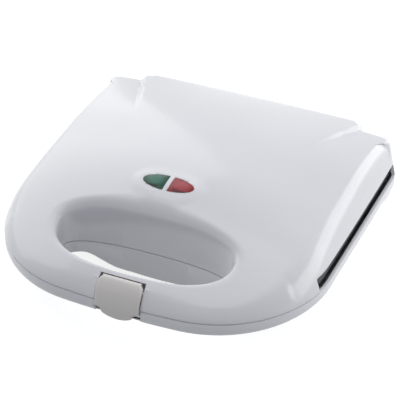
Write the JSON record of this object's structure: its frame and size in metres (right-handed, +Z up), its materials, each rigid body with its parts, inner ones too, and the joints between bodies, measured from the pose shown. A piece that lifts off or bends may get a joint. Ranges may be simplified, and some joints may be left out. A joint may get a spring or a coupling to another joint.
{
  "type": "sandwich toaster",
  "caption": "Glossy white countertop sandwich toaster: domed lid on a rear hinge, handle slot through lid and base, front clip latch, two indicator lights and dark pocketed cooking plates.",
  "frame": {"origin": "on the table under the middle of the outline's bounding box", "axes": "+X to the right, +Y to the hinge at the rear (the handle is at -Y), +Z up"},
  "size_m": [0.23, 0.2394, 0.0823],
  "materials": {
    "white_plastic": "glossy moulded white",
    "latch_plastic": "satin warm grey",
    "coated_aluminium": "die cast with a dark non-stick coating",
    "element_sheath": "dull heat-tinted sheath",
    "shield_aluminium": "bright rolled sheet",
    "steel": "zinc plated",
    "pin_steel": "ground steel",
    "lead_sleeving": "woven glass fibre sleeving",
    "dark_sleeving": "silicone sleeve",
    "block_ceramic": "unglazed",
    "thermostat_ceramic": "unglazed with a metal cup",
    "brass": "dull",
    "gland_plastic": "matt",
    "holder_plastic": "matt",
    "foot_rubber": "matt black",
    "green_lens": "clear tinted green",
    "red_lens": "clear tinted red",
    "lamp_glass": "clear"
  },
  "bodies": {
    "base": {"base_shell": "white_plastic", "base_cooking_plate": "coated_aluminium", "base_plate_screws": "steel", "base_heating_element": "element_sheath", "base_element_clamps": "steel", "base_heat_shield": "shield_aluminium", "base_shield_screws": "steel", "base_leads": "lead_sleeving", "terminal_block": "block_ceramic", "terminal_block_screws": "steel", "thermal_fuse": "brass", "cord_gland": "gland_plastic", "cord_clamp": "gland_plastic", "cord_clamp_screws": "steel", "foot_front_left": "foot_rubber", "foot_front_right": "foot_rubber", "foot_rear_left": "foot_rubber", "foot_rear_right": "foot_rubber", "hinge_pin_left": "pin_steel", "hinge_pin_right": "pin_steel", "hinge_lead_sleeve": "dark_sleeving"},
    "lid": {"lid_shell": "white_plastic", "lid_cooking_plate": "coated_aluminium", "lid_plate_screws": "steel", "lid_heating_element": "element_sheath", "lid_element_clamps": "steel", "lid_heat_shield": "shield_aluminium", "lid_shield_screws": "steel", "lid_leads": "lead_sleeving", "thermostat": "thermostat_ceramic", "thermostat_bracket": "steel", "thermostat_screws": "steel", "lens_green": "green_lens", "lens_red": "red_lens", "lamp_green": "lamp_glass", "lamp_red": "lamp_glass", "lamp_holder": "holder_plastic", "lamp_holder_screws": "steel", "latch_pin": "pin_steel"},
    "latch": {"latch": "latch_plastic"}
  },
  "joints": [
    {"name": "lid_hinge", "type": "hinge", "parent": "base", "child": "lid", "pos_m": [0, 0.1119, 0.039], "axis": [-1, 0, 0], "range_deg": [0, 105]},
    {"name": "latch_pivot", "type": "hinge", "parent": "lid", "child": "latch", "pos_m": [0, -0.1106, 0.0456], "axis": [-1, 0, 0], "range_deg": [0, 35]}
  ]
}
